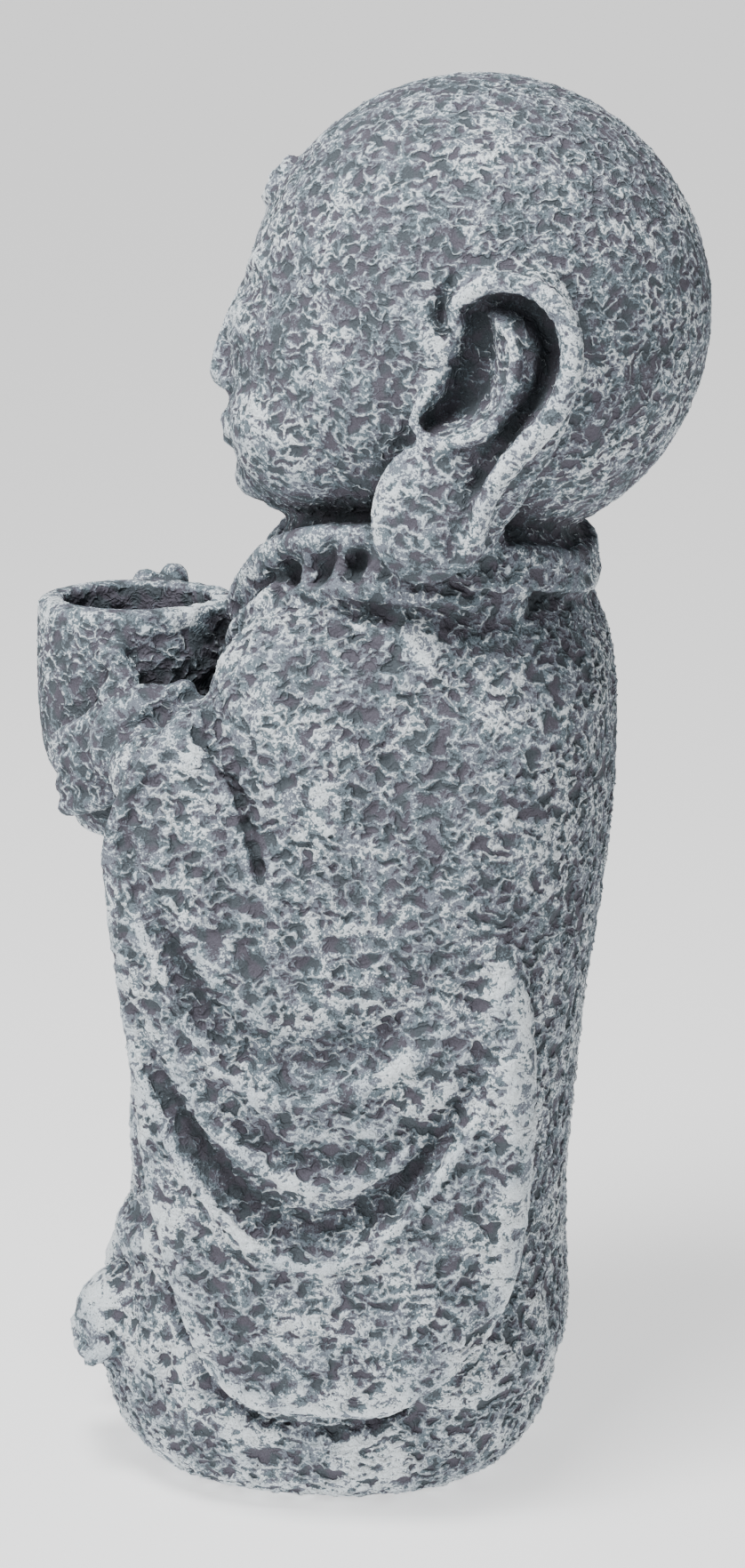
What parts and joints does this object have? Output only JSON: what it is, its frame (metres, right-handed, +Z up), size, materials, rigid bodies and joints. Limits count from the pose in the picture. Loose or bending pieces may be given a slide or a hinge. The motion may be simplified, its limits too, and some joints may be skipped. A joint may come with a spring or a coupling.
{
  "type": "stone jizo statue",
  "caption": "Cast-stone garden figure of a standing child monk holding a hollow cup for a tealight, on a rounded base.",
  "frame": {"origin": "centre of the figure's bounding box, on the ground under its flat sole", "axes": "+Z up; the figure faces -Y, and its left hand is on the +X side"},
  "size_m": [0.1491, 0.1899, 0.3999],
  "materials": {
    "cast_stone": "matte"
  },
  "bodies": {
    "root": {"jizo_statue": "cast_stone"}
  },
  "joints": []
}
